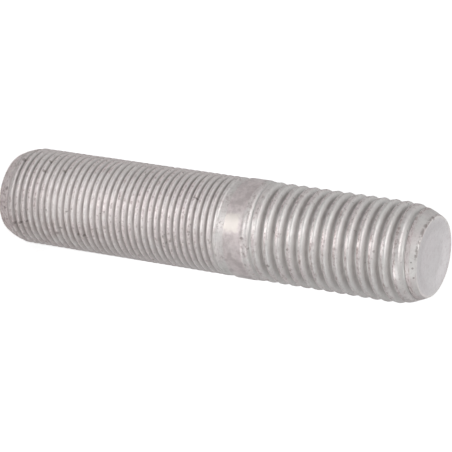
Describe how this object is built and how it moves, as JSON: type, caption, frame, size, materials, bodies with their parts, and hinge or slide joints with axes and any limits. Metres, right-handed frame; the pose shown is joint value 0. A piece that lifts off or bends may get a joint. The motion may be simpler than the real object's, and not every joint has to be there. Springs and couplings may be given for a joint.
{
  "type": "double ended stud",
  "caption": "Steel stud with a fine right-hand thread at one end, a coarse right-hand thread at the other and a short plain shank between them.",
  "frame": {"origin": "middle of the fine end's face, on which the stud stands", "axes": "+Z along the stud, from the fine end to the coarse end; +X is the side on which the first groove of each thread is measured from its face"},
  "size_m": [0.02, 0.02, 0.0943],
  "materials": {
    "coated_steel": "matte silver-grey flake coating, rubbed bright on the shank and crests"
  },
  "bodies": {
    "root": {"double_ended_stud": "coated_steel"}
  },
  "joints": []
}
